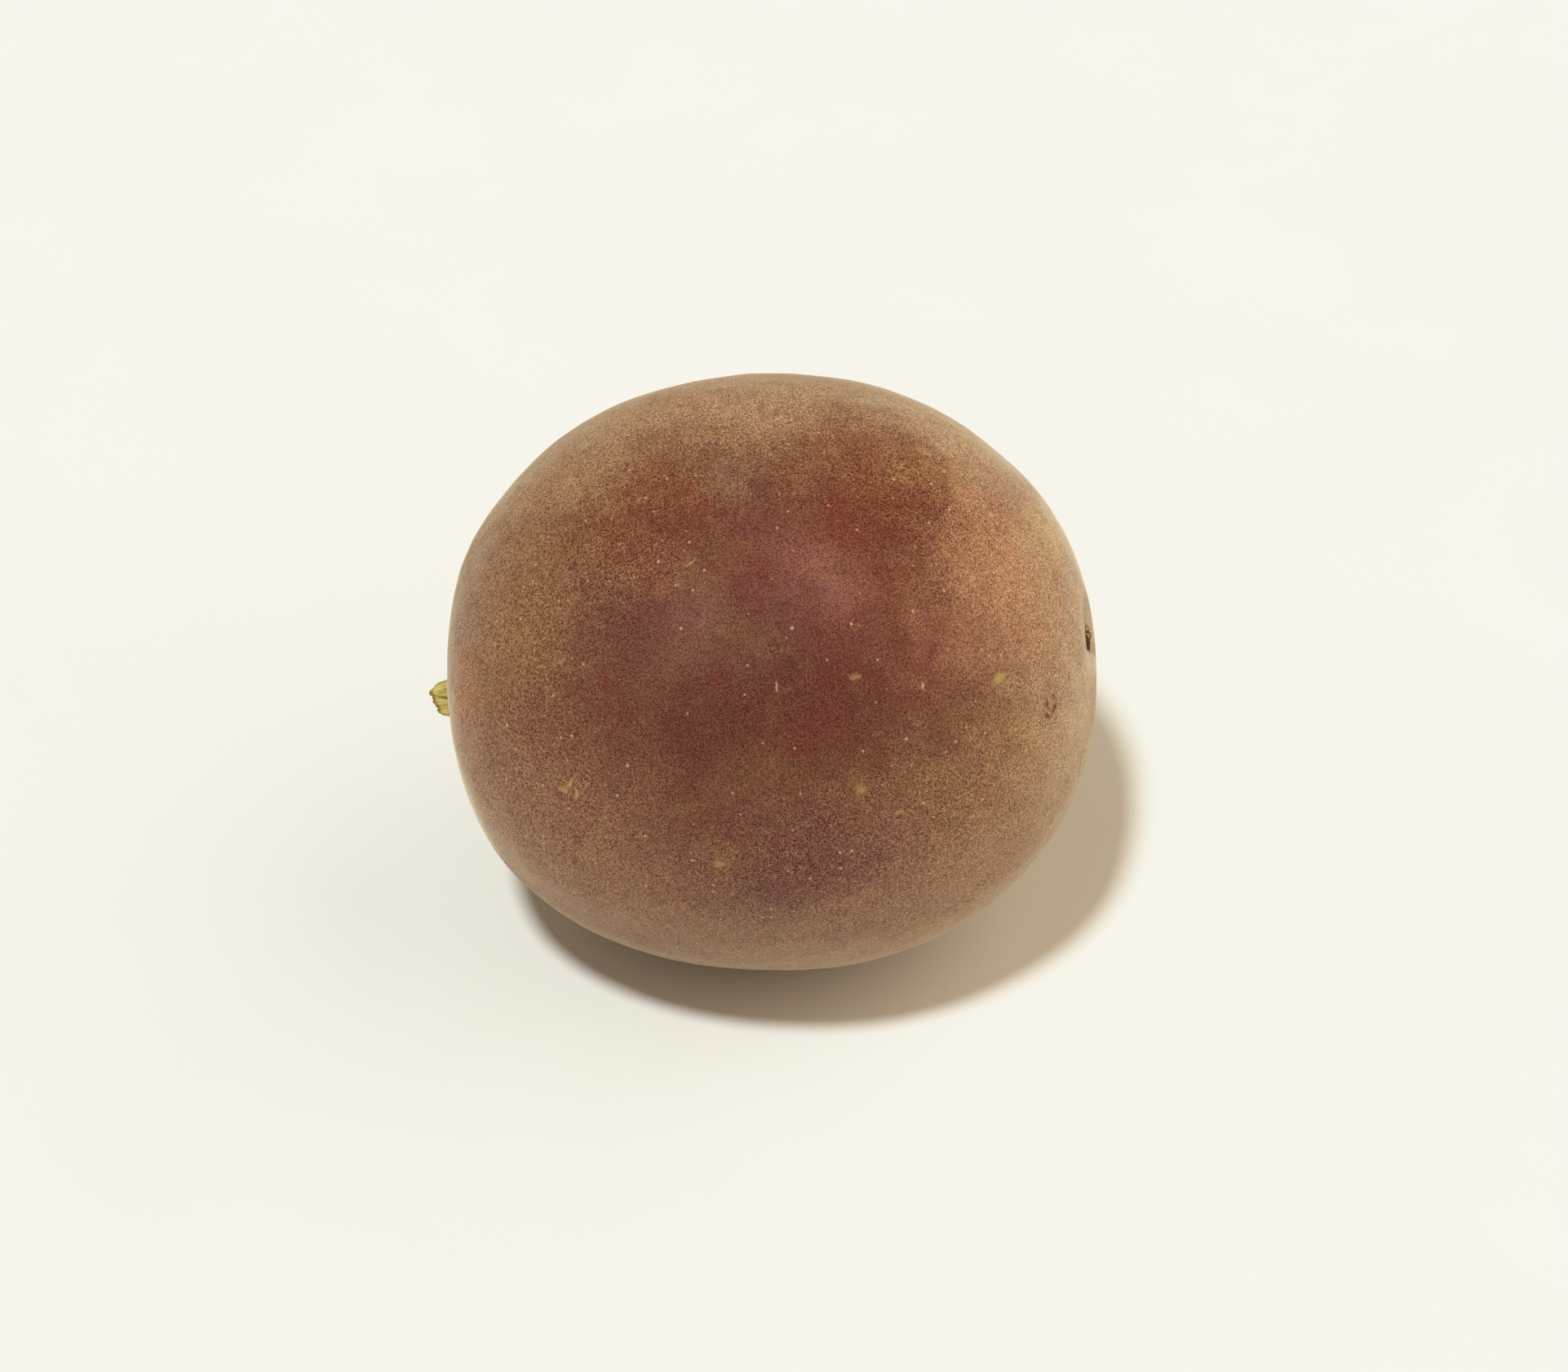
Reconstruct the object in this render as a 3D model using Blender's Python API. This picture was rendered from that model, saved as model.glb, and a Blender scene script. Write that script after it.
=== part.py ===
"""A whole ripe passion fruit lying on its side: the fruit, the torn stub of its stalk at one end
and the dried remnant of its style at the other. Metres, +Z up, +X from the stem end to the
blossom end. The origin is under the middle of the whole thing, on the surface it rests on."""

import math

import bmesh
import bpy
import numpy as np
from mathutils import Matrix, Vector

# The fruit's plain form, before its swellings: a blunt ellipsoid of revolution
HALF_LENGTH = 0.02905
HALF_WIDTH = 0.02620
BLUNTNESS = 2.10                      # 2 is a true ellipsoid, more is blunter
AXIS_TILT = math.radians(11.0)        # the blossom end lies higher than the stem end

# Soft swellings of the skin: longitude and latitude in degrees, and height
SWELLING_SPREAD = math.radians(38)
SWELLINGS = {
    "blossom_shoulder": (20, 15, 0.0006),
    "right_back": (65, 40, 0.0002),
    "left_back": (125, 40, 0.0005),
    "stem_back": (170, 15, 0.0001),
    "stem_cheek": (-160, -15, 0.0010),
    "near_belly": (-55, -40, 0.0007),
    "blossom_cheek": (-10, -15, 0.0007),
    "underside": (10, -60, 0.0013),
}

# The two ends: a broad flattening on the axis and a small dimple round what stands there.
# The blossom scar sits a little off the axis: longitude and latitude in degrees.
BLOSSOM_SCAR = (2.6, 11.0)
END_SPREAD = math.radians(24)
STEM_FLATTENING = 0.0019
BLOSSOM_FLATTENING = 0.0005
STEM_DIMPLE_SPREAD = math.radians(7)
STEM_DIMPLE_DEPTH = 0.0004
BLOSSOM_DIMPLE_SPREAD = math.radians(5)
BLOSSOM_DIMPLE_DEPTH = 0.0003

# The spot it rests on: how much of the underside is pressed flat
SEAT_DEPTH = 0.0004
SEAT_CUTTER_SIZE = 0.04

# Clearance between pieces, and how finely the skin is divided
GAP = 0.0003
SKIN_TURNS = 60
SKIN_RINGS = 42
SMOOTH_ANGLE = math.radians(40)

# Stalk stub: a tapering stump torn off slantwise, longer on its upper far side
STUB_SKIN_RADIUS = 0.00185
STUB_TIP_RADIUS = 0.00130
STUB_LENGTH = 0.0038
STUB_ROOT_DEPTH = 0.0016
STUB_SLANT = 0.0006
STUB_SLANT_TURN = math.radians(50)
STUB_TEETH = {3: 0.00018, 5: 0.00014, 8: 0.00010}     # teeth round the end: height of each wave
STUB_RIBS = 7
STUB_RIB_HEIGHT = 0.06                # as a share of the radius
STUB_TURNS = 28
STUB_RINGS = 16
STUB_END_SHARE = 0.34                 # share of the rings that cover the torn end
STUB_ROOT_SHARE = 0.90                # past this share the rings close the root

# Style remnant: a low dry oval nub with a slit across it
REMNANT_HALF_HEIGHT = 0.00125
REMNANT_HALF_WIDTH = 0.00095
REMNANT_RISE = 0.00045
REMNANT_ROOT_DEPTH = 0.0009
REMNANT_SLIT_DEPTH = 0.00035
REMNANT_SLIT_WIDTH = 0.00022
REMNANT_SLIT_OFFSET = 0.00025
REMNANT_TURN = math.radians(44)       # the oval and its slit lean this far from upright
REMNANT_TURNS = 24
REMNANT_RINGS = 16
REMNANT_DOME_SHARE = 0.55

SOCKET_SIDES = 32
SOCKET_REACH = 0.006                  # how far a socket cutter stands out of the skin

# Colours as red, green, blue; then roughness
SKIN_FINISH = ((0.30, 0.12, 0.075), 0.62)
STALK_FINISH = ((0.52, 0.42, 0.13), 0.75)
REMNANT_FINISH = ((0.28, 0.22, 0.11), 0.80)

def clear_scene():
    for thing in list(bpy.data.objects):
        bpy.data.objects.remove(thing, do_unlink=True)


def new_collection(name):
    collection = bpy.data.collections.new(name)
    bpy.context.scene.collection.children.link(collection)
    return collection


def finish_material(name, finish):
    colour, roughness = finish
    material = bpy.data.materials.new(name)
    material.use_nodes = True
    shader = material.node_tree.nodes["Principled BSDF"]
    shader.inputs["Base Color"].default_value = (*colour, 1.0)
    shader.inputs["Roughness"].default_value = roughness
    shader.inputs["Metallic"].default_value = 0.0
    material.diffuse_color = (*colour, 1.0)
    return material


def sphere_mesh(name, turns, rings):
    """A unit sphere with its poles on Z, as a mesh."""
    bm = bmesh.new()
    bmesh.ops.create_uvsphere(bm, u_segments=turns, v_segments=rings, radius=1.0)
    mesh = bpy.data.meshes.new(name)
    bm.to_mesh(mesh)
    bm.free()
    return mesh


def read_points(mesh):
    points = np.empty(len(mesh.vertices) * 3)
    mesh.vertices.foreach_get("co", points)
    return points.reshape(-1, 3)


def write_points(mesh, points):
    mesh.vertices.foreach_set("co", points.ravel())
    mesh.update()


def add_piece(name, mesh, material, collection, parent):
    mesh.materials.append(material)
    mesh.shade_smooth()
    mesh.set_sharp_from_angle(angle=SMOOTH_ANGLE)
    piece = bpy.data.objects.new(name, mesh)
    piece.parent = parent
    collection.objects.link(piece)
    return piece


def direction(longitude, latitude):
    turn = math.radians(longitude)
    rise = math.radians(latitude)
    return np.array([math.cos(rise) * math.cos(turn), math.cos(rise) * math.sin(turn), math.sin(rise)])


FRUIT_AXIS = direction(0.0, math.degrees(AXIS_TILT))
SCAR_WAY = direction(*BLOSSOM_SCAR)


def bell(directions, centre, spread):
    """1 along centre, falling off as a bell curve of the angle away from it."""
    angle = np.arccos(np.clip(directions @ centre, -1.0, 1.0))
    return np.exp(-(angle / spread) ** 2)


def skin_radius(directions):
    """Distance from the fruit's centre to its skin along each unit direction."""
    along = np.abs(directions @ FRUIT_AXIS)
    across = np.sqrt(np.clip(1.0 - along ** 2, 0.0, 1.0))
    squashed = (across / HALF_WIDTH) ** BLUNTNESS + (along / HALF_LENGTH) ** BLUNTNESS
    radius = squashed ** (-1.0 / BLUNTNESS)
    for longitude, latitude, height in SWELLINGS.values():
        radius += height * bell(directions, direction(longitude, latitude), SWELLING_SPREAD)
    radius -= STEM_FLATTENING * bell(directions, -FRUIT_AXIS, END_SPREAD)
    radius -= BLOSSOM_FLATTENING * bell(directions, FRUIT_AXIS, END_SPREAD)
    radius -= STEM_DIMPLE_DEPTH * bell(directions, -FRUIT_AXIS, STEM_DIMPLE_SPREAD)
    radius -= BLOSSOM_DIMPLE_DEPTH * bell(directions, SCAR_WAY, BLOSSOM_DIMPLE_SPREAD)
    return radius


def fruit_mesh():
    """A sphere with its poles on the fruit's axis, each point moved out to the skin."""
    mesh = sphere_mesh("fruit", SKIN_TURNS, SKIN_RINGS)
    lay_down = Matrix.Rotation(math.pi / 2 - AXIS_TILT, 4, "Y")
    mesh.transform(lay_down)
    directions = read_points(mesh)
    directions /= np.linalg.norm(directions, axis=1)[:, None]
    write_points(mesh, directions * skin_radius(directions)[:, None])
    return mesh


def skin_place(way):
    """The point of the skin along a direction, with local Z out along it and local X upwards."""
    outwards = Vector(way)
    upwards = Vector((0.0, 0.0, 1.0))
    upwards = (upwards - outwards * upwards.dot(outwards)).normalized()
    sideways = outwards.cross(upwards)
    turn = Matrix((upwards, sideways, outwards)).transposed().to_4x4()
    distance = float(skin_radius(np.array([way]))[0])
    return Matrix.Translation(outwards * distance) @ turn


def stub_mesh():
    """A sphere drawn out into a ribbed stump: its first rings cover the torn end, its next rings
    run down the side and its last rings close the root. The torn end is a slant plus waves."""
    mesh = sphere_mesh("stalk_stub", STUB_TURNS, STUB_RINGS)
    points = read_points(mesh)
    turn = np.arctan2(points[:, 1], points[:, 0])
    share = np.arccos(np.clip(points[:, 2], -1.0, 1.0)) / math.pi
    out = np.clip(share / STUB_END_SHARE, 0.0, 1.0)
    down = np.clip((share - STUB_END_SHARE) / (STUB_ROOT_SHARE - STUB_END_SHARE), 0.0, 1.0)
    shut = np.clip((1.0 - share) / (1.0 - STUB_ROOT_SHARE), 0.0, 1.0)
    torn = STUB_SLANT * np.cos(turn - STUB_SLANT_TURN)
    for waves, height in STUB_TEETH.items():
        torn += height * np.cos(waves * turn + waves)
    top = STUB_LENGTH - STUB_SLANT + torn * out
    height = top * (1.0 - down) - STUB_ROOT_DEPTH * down
    taper = np.clip(height / STUB_LENGTH, 0.0, 1.0)
    radius = STUB_SKIN_RADIUS + (STUB_TIP_RADIUS - STUB_SKIN_RADIUS) * taper
    radius *= 1.0 + STUB_RIB_HEIGHT * np.cos(STUB_RIBS * turn)
    radius *= out * shut
    write_points(mesh, np.column_stack((radius * np.cos(turn), radius * np.sin(turn), height)))
    return mesh


def remnant_mesh():
    """A sphere pressed into a low oval nub: a dome above the skin, cut by a slit, and a root."""
    mesh = sphere_mesh("style_remnant", REMNANT_TURNS, REMNANT_RINGS)
    points = read_points(mesh)
    turn = np.arctan2(points[:, 1], points[:, 0])
    share = np.arccos(np.clip(points[:, 2], -1.0, 1.0)) / math.pi
    out = np.sin(np.clip(share / REMNANT_DOME_SHARE, 0.0, 1.0) * math.pi / 2)
    down = np.clip((share - REMNANT_DOME_SHARE) / (1.0 - REMNANT_DOME_SHARE), 0.0, 1.0)
    shut = np.sqrt(np.clip(1.0 - down ** 6, 0.0, 1.0))
    oval = np.hypot(np.cos(turn) / REMNANT_HALF_HEIGHT, np.sin(turn) / REMNANT_HALF_WIDTH)
    radius = out * shut / oval
    upward = radius * np.cos(turn)
    sideways = radius * np.sin(turn)
    height = REMNANT_RISE * np.sqrt(np.clip(1.0 - out ** 2, 0.0, 1.0)) - REMNANT_ROOT_DEPTH * down
    slit = np.exp(-((sideways - REMNANT_SLIT_OFFSET) / REMNANT_SLIT_WIDTH) ** 2)
    height -= REMNANT_SLIT_DEPTH * slit * (1.0 - down) * (1.0 - out ** 6)
    write_points(mesh, np.column_stack((upward, sideways, height)))
    mesh.transform(Matrix.Rotation(REMNANT_TURN, 4, "Z"))
    return mesh


def add_cutter(name, bm, place, collection, parent):
    mesh = bpy.data.meshes.new(name)
    bm.to_mesh(mesh)
    bm.free()
    cutter = bpy.data.objects.new(name, mesh)
    cutter.matrix_local = place
    cutter.parent = parent
    cutter.display_type = "WIRE"
    cutter.hide_render = True
    collection.objects.link(cutter)
    return cutter


def socket_cutter(name, radius, depth, place, collection, parent):
    """A plain round hole: from its floor to well outside the skin."""
    length = depth + SOCKET_REACH
    lift = Matrix.Translation((0.0, 0.0, SOCKET_REACH - length / 2))
    bm = bmesh.new()
    bmesh.ops.create_cone(bm, cap_ends=True, segments=SOCKET_SIDES, radius1=radius, radius2=radius,
                          depth=length, matrix=lift)
    return add_cutter(name, bm, place, collection, parent)


def seat_cutter(seat_height, collection, parent):
    """A block whose top face is the flat that the fruit rests on."""
    drop = Matrix.Translation((0.0, 0.0, -SEAT_CUTTER_SIZE / 2))
    bm = bmesh.new()
    bmesh.ops.create_cube(bm, size=SEAT_CUTTER_SIZE, matrix=drop)
    place = Matrix.Translation((0.0, 0.0, seat_height))
    return add_cutter("seat_cutter", bm, place, collection, parent)


def cut(piece, cutter):
    boolean = piece.modifiers.new(cutter.name, "BOOLEAN")
    boolean.operation = "DIFFERENCE"
    boolean.solver = "EXACT"
    boolean.object = cutter


def stand_at_origin(root, pieces, seat_height):
    """Moves everything so that the flat is at Z 0 and the whole thing is centred in X and Y."""
    bpy.context.view_layer.update()
    corners = []
    for piece in pieces:
        turn = np.array(piece.matrix_world.to_3x3())
        points = read_points(piece.data) @ turn.T + np.array(piece.matrix_world.translation)
        corners.append(points.min(axis=0))
        corners.append(points.max(axis=0))
    middle = (np.min(corners, axis=0) + np.max(corners, axis=0)) / 2
    root.location = (-middle[0], -middle[1], -seat_height)


def build():
    clear_scene()
    parts = new_collection("passion_fruit")
    cutters = new_collection("cutters")
    root = bpy.data.objects.new("fruit_centre", None)
    parts.objects.link(root)

    fruit = add_piece("fruit", fruit_mesh(), finish_material("skin", SKIN_FINISH), parts, root)
    stub = add_piece("stalk_stub", stub_mesh(), finish_material("stalk", STALK_FINISH), parts, root)
    stub.matrix_local = skin_place(-FRUIT_AXIS)
    remnant = add_piece("style_remnant", remnant_mesh(), finish_material("dry_remnant", REMNANT_FINISH),
                        parts, root)
    remnant.matrix_local = skin_place(SCAR_WAY)

    stub_socket_radius = STUB_SKIN_RADIUS * (1.0 + STUB_RIB_HEIGHT) + GAP
    cut(fruit, socket_cutter("stalk_socket_cutter", stub_socket_radius, STUB_ROOT_DEPTH + GAP,
                             skin_place(-FRUIT_AXIS), cutters, root))
    cut(fruit, socket_cutter("remnant_socket_cutter", REMNANT_HALF_HEIGHT + GAP, REMNANT_ROOT_DEPTH + GAP,
                             skin_place(SCAR_WAY), cutters, root))
    seat_height = float(read_points(fruit.data)[:, 2].min()) + SEAT_DEPTH
    cut(fruit, seat_cutter(seat_height, cutters, root))
    stand_at_origin(root, (fruit, stub, remnant), seat_height)


build()
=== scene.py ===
import math
import bpy
import numpy as np
from mathutils import Matrix, Vector


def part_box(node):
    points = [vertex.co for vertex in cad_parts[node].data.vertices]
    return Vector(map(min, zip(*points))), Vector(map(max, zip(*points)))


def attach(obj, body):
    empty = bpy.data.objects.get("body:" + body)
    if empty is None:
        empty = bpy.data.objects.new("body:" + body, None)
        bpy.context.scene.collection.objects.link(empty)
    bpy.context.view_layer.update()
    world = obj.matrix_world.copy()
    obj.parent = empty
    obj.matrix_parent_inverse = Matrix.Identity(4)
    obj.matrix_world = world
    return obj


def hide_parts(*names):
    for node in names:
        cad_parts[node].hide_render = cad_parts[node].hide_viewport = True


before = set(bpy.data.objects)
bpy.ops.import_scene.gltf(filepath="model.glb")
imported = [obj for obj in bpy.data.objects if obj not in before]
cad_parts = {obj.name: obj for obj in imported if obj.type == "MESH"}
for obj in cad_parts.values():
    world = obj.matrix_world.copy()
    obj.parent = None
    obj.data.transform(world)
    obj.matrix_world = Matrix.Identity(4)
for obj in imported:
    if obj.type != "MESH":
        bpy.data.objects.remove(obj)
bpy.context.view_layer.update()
print("frame loaded, nodes:", sorted(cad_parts))

mm = 0.001


# small helpers

def wayTo(longitude, latitude):
    # unit vector from the fruit's centre: longitude turns about Z from +X, latitude rises
    turn, rise = math.radians(longitude), math.radians(latitude)
    return np.array([math.cos(rise) * math.cos(turn), math.cos(rise) * math.sin(turn), math.sin(rise)])


def bell(ways, centre, spread):
    # 1 along centre, exp(-(angle / spread) squared) away from it, angles in radians
    return np.exp(-(np.arccos(np.clip(ways @ centre, -1, 1)) / spread) ** 2)


def ripples(points, wavelength, seed):
    # sum of plane waves of about one wavelength in random directions, scaled to a spread of 1
    waves = 26
    rng = np.random.default_rng(seed)
    ways = rng.normal(size=(waves, 3))
    ways /= np.linalg.norm(ways, axis=1)[:, None]
    lengths = wavelength * rng.uniform(0.7, 1.4, waves)
    phases = rng.uniform(0, 2 * math.pi, waves)
    total = np.cos(points @ (ways / lengths[:, None]).T * 2 * math.pi + phases).sum(axis=1)
    return total * math.sqrt(2 / waves)


def easeStep(value, low, high):
    # 0 up to low and 1 from high on, eased in between
    share = np.clip((value - low) / (high - low), 0, 1)
    return share * share * (3 - 2 * share)


def paint(red, green, blue):
    # 0 to 255 as a painter mixes it, to the linear values that shaders want
    values = np.array([red, green, blue]) / 255
    return np.where(values < 0.04045, values / 12.92, ((values + 0.055) / 1.055) ** 2.4)


def addNode(tree, kind, sockets=None, **settings):
    node = tree.nodes.new(kind)
    for name, value in settings.items():
        setattr(node, name, value)
    for name, value in (sockets or {}).items():
        if isinstance(value, bpy.types.NodeSocket):
            tree.links.new(value, node.inputs[name])
        else:
            node.inputs[name].default_value = value
    return node


def doMath(tree, operation, first, second=0.0):
    return addNode(tree, "ShaderNodeMath", {0: first, 1: second}, operation=operation).outputs[0]


def fade(tree, value, low, high, atLow=0.0, atHigh=1.0):
    # eases from atLow at value low to atHigh at value high
    sockets = {"Value": value, "From Min": low, "From Max": high, "To Min": atLow, "To Max": atHigh}
    return addNode(tree, "ShaderNodeMapRange", sockets, interpolation_type="SMOOTHSTEP").outputs[0]


def mixTone(tree, share, first, second):
    # sockets 0, 6 and 7 of a colour mix are its share and its two colours, output 2 is the result
    return addNode(tree, "ShaderNodeMix", {0: share, 6: first, 7: second}, data_type="RGBA").outputs[2]


def cloud(tree, place, size, detail, roughness, distortion):
    # soft noise whose features measure about size, around 0.5
    sockets = {"Vector": place, "Scale": 1 / size, "Detail": detail, "Roughness": roughness,
               "Distortion": distortion}
    return addNode(tree, "ShaderNodeTexNoise", sockets).outputs[0]


def tone(name):
    return (*paint(*skinTones[name]), 1)


def newMaterial(name, roughness, specular):
    material = bpy.data.materials.new(name)
    material.use_nodes = True
    shader = material.node_tree.nodes["Principled BSDF"]
    shader.inputs["Roughness"].default_value = roughness
    shader.inputs["Specular IOR Level"].default_value = specular
    return material, material.node_tree, shader


def addBump(tree, shader, height, depth, strength):
    sockets = {"Height": height, "Distance": depth, "Strength": strength}
    tree.links.new(addNode(tree, "ShaderNodeBump", sockets).outputs[0], shader.inputs["Normal"])


def closedGrid(name, rows, firstPole, lastPole):
    # rows is (rings, turns, 3), each ring a closed loop; the two poles close the ends
    rings, turns, _ = rows.shape
    points = np.vstack((rows.reshape(-1, 3), firstPole, lastPole))
    across = np.arange(turns)
    beside = (across + 1) % turns
    ring = np.arange(rings - 1)[:, None] * turns
    quads = np.stack((ring + across, ring + turns + across, ring + turns + beside, ring + beside), axis=-1)
    quads = quads.reshape(-1, 4)
    first, last = rings * turns, rings * turns + 1
    foot = (rings - 1) * turns
    caps = np.vstack((np.stack((np.full(turns, first), across, beside), axis=-1),
                      np.stack((np.full(turns, last), foot + beside, foot + across), axis=-1)))
    mesh = bpy.data.meshes.new(name)
    mesh.vertices.add(len(points))
    mesh.vertices.foreach_set("co", points.astype(np.float32).ravel())
    mesh.loops.add(quads.size + caps.size)
    mesh.loops.foreach_set("vertex_index", np.concatenate((quads.ravel(), caps.ravel())).astype(np.int32))
    starts = np.concatenate((np.arange(len(quads)) * 4, quads.size + np.arange(len(caps)) * 3))
    mesh.polygons.add(len(starts))
    mesh.polygons.foreach_set("loop_start", starts.astype(np.int32))
    mesh.update(calc_edges=True)
    mesh.validate()
    mesh.shade_smooth()
    return mesh


def giveValue(mesh, name, values):
    mesh.attributes.new(name, "FLOAT", "POINT").data.foreach_set("value", values.astype(np.float32))


def giveColour(mesh, name, colours):
    rgba = np.column_stack((colours, np.ones(len(colours)))).astype(np.float32)
    mesh.attributes.new(name, "FLOAT_COLOR", "POINT").data.foreach_set("color", rgba.ravel())


def settle(name, mesh, material, node):
    mesh.materials.append(material)
    piece = bpy.data.objects.new(name, mesh)
    bpy.context.scene.collection.objects.link(piece)
    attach(piece, "root")
    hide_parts(node)


# the fruit's form: a blunt ellipsoid of revolution, soft swellings, flattened and dimpled ends

fruitForm = {
    "halfLength": 29.05 * mm,
    "halfWidth": 26.2 * mm,
    "bluntness": 2.1,
    "axisTilt": 11,                     # degrees, blossom end up
    "swellingSpread": 38,
    "swellings": [                      # longitude, latitude, height in mm
        (20, 15, 0.6), (65, 40, 0.2), (125, 40, 0.5), (170, 15, 0.1),
        (-160, -15, 1.0), (-55, -40, 0.7), (-10, -15, 0.7), (10, -60, 1.3),
    ],
    "endSpread": 24,
    "stemFlattening": 1.9 * mm,
    "blossomFlattening": 0.5 * mm,
    "stemDimple": (7, 0.4 * mm),        # spread in degrees, depth
    "blossomDimple": (5, 0.3 * mm),
    "blossomScar": (2.6, 11.0),         # longitude, latitude: a little off the axis
    "rings": 298,
    "turns": 332,
    "poleCrowding": 0.12,               # closes the rings up towards the two ends
}
fruitAxis = wayTo(0, fruitForm["axisTilt"])
scarWay = wayTo(*fruitForm["blossomScar"])


def skinRadius(ways):
    # (across / half width)^n + (along / half length)^n = 1, plus bells of the angle to each swelling
    along = np.abs(ways @ fruitAxis)
    across = np.sqrt(np.clip(1 - along ** 2, 0, 1))
    n = fruitForm["bluntness"]
    radius = ((across / fruitForm["halfWidth"]) ** n + (along / fruitForm["halfLength"]) ** n) ** (-1 / n)
    swellingSpread = math.radians(fruitForm["swellingSpread"])
    for longitude, latitude, height in fruitForm["swellings"]:
        radius += height * mm * bell(ways, wayTo(longitude, latitude), swellingSpread)
    endSpread = math.radians(fruitForm["endSpread"])
    radius -= fruitForm["stemFlattening"] * bell(ways, -fruitAxis, endSpread)
    radius -= fruitForm["blossomFlattening"] * bell(ways, fruitAxis, endSpread)
    dimples = ((-fruitAxis, fruitForm["stemDimple"]), (scarWay, fruitForm["blossomDimple"]))
    for way, (spread, depth) in dimples:
        radius -= depth * bell(ways, way, math.radians(spread))
    return radius


def skinWays():
    # rings from the stem pole to the blossom pole, turns about the fruit's axis
    step = np.linspace(0, 1, fruitForm["rings"] + 2)
    rise = math.pi * (step - fruitForm["poleCrowding"] * np.sin(2 * math.pi * step))
    turn = np.arange(fruitForm["turns"]) * 2 * math.pi / fruitForm["turns"]
    upwards = np.array([0, 0, 1]) - fruitAxis * fruitAxis[2]
    upwards /= np.linalg.norm(upwards)
    sideways = np.cross(fruitAxis, upwards)
    circle = np.cos(turn)[:, None] * upwards + np.sin(turn)[:, None] * sideways
    return -np.cos(rise)[:, None, None] * fruitAxis + np.sin(rise)[:, None, None] * circle


ways = skinWays()
plainSkin = ways * skinRadius(ways.reshape(-1, 3)).reshape(ways.shape[:2])[:, :, None]
fruitLow, fruitHigh = (np.array(corner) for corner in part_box("fruit"))
plainLow, plainHigh = plainSkin.reshape(-1, 3).min(axis=0), plainSkin.reshape(-1, 3).max(axis=0)
fruitCentre = (fruitLow + fruitHigh - plainLow - plainHigh) / 2
fruitCentre[2] = fruitHigh[2] - plainHigh[2]
print("fruit centre in mm:", np.round(fruitCentre / mm, 2))


# camera and light

shot = {
    "elevation": 44,
    "azimuth": 4.69,
    "distance": 0.478,
    "lens": 121.75,
    "sensorWidth": 36,
    "nearestSeen": 0.01,
    "aimRight": 1.60 * mm,
    "aimUp": -1.29 * mm,
    "ambient": (0.33, 0.275, 0.2),
    "lamps": {                          # where from, angle across in degrees, light on the floor
        "keyLight": ((-0.166, -0.358, 1), 6.5, (0.73, 0.76, 0.71)),
        "rightPanel": ((1, 0.15, 0.8), 70, (0.27, 0.225, 0.155)),
    },
    "filmWhite": 2,                     # the light that counts as 1 on the shoulder
    "filmShoulder": [                   # light in, level out
        (0, 0), (0.225, 0.45), (0.35, 0.69), (0.445, 0.84), (0.53, 0.918), (0.58, 0.94), (1, 0.975),
    ],
}


def setUpShot():
    azimuth, elevation = math.radians(shot["azimuth"]), math.radians(shot["elevation"])
    back = np.array([math.cos(elevation) * math.sin(azimuth), -math.cos(elevation) * math.cos(azimuth),
                     math.sin(elevation)])
    right = np.array([math.cos(azimuth), math.sin(azimuth), 0])
    up = np.cross(back, right)
    aim = fruitCentre + right * shot["aimRight"] + up * shot["aimUp"]
    lens = bpy.data.cameras.new("camera")
    lens.lens = shot["lens"]
    lens.sensor_width = shot["sensorWidth"]
    lens.clip_start = shot["nearestSeen"]
    camera = bpy.data.objects.new("camera", lens)
    bpy.context.scene.collection.objects.link(camera)
    turn = np.column_stack((right, up, back))
    camera.rotation_euler = Matrix(turn.tolist()).to_euler()
    camera.location = aim + back * shot["distance"]
    bpy.context.scene.camera = camera


def setUpLight():
    for name, (source, angle, onFloor) in shot["lamps"].items():
        way = Vector(source).normalized()
        # a sun of strength pi / way.z shows the level floor in its own tone
        strength = max(onFloor) * math.pi / way.z
        sun = bpy.data.lights.new(name, "SUN")
        sun.angle = math.radians(angle)
        sun.color = [share / max(onFloor) for share in onFloor]
        sun.energy = strength
        lamp = bpy.data.objects.new(name, sun)
        bpy.context.scene.collection.objects.link(lamp)
        lamp.rotation_euler = way.to_track_quat("Z", "Y").to_euler()
    world = bpy.data.worlds.new("softRoom")
    world.use_nodes = True
    world.node_tree.nodes["Background"].inputs["Color"].default_value = (*shot["ambient"], 1)
    bpy.context.scene.world = world
    look = bpy.context.scene.view_settings
    look.view_transform = "Standard"
    look.look = "None"
    look.use_curve_mapping = True
    tones = look.curve_mapping
    tones.white_level = [shot["filmWhite"]] * 3
    shoulder = tones.curves[3]
    for place, level in shot["filmShoulder"][1:-1]:
        shoulder.points.new(place, level)
    shoulder.points[0].location = shot["filmShoulder"][0]
    shoulder.points[-1].location = shot["filmShoulder"][-1]
    tones.update()


setUpShot()
setUpLight()
print("camera and light ready")


# colours of the rind, and of the dry stalk and the blossom scar at its two ends

skinTones = {
    "ground": (131, 88, 68),
    "maroon": (80, 28, 26),
    "rust": (91, 29, 17),
    "deepRed": (104, 26, 25),
    "plum": (82, 33, 40),
    "mauve": (130, 74, 66),
    "orange": (148, 78, 48),
    "peach": (160, 109, 81),
    "tan": (158, 124, 96),
    "straw": (176, 144, 86),
    "lime": (196, 180, 96),
    "olive": (114, 76, 42),
    "brown": (82, 37, 28),
    "fleck": (206, 172, 124),
    "dark": (44, 20, 16),
    "stalkYellow": (208, 188, 112),
    "stalkGreen": (184, 168, 92),
    "stalkBrown": (122, 86, 40),
    # dark of the torn stalk, also the tone of the painted shade in the pocket, the slit and the gap by the
    # remnant
    "tornDarkAndShade": (52, 34, 18),
    "scarOlive": (112, 92, 56),
    "scarTan": (158, 134, 88),
    "scarBrown": (86, 62, 36),
}

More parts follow.
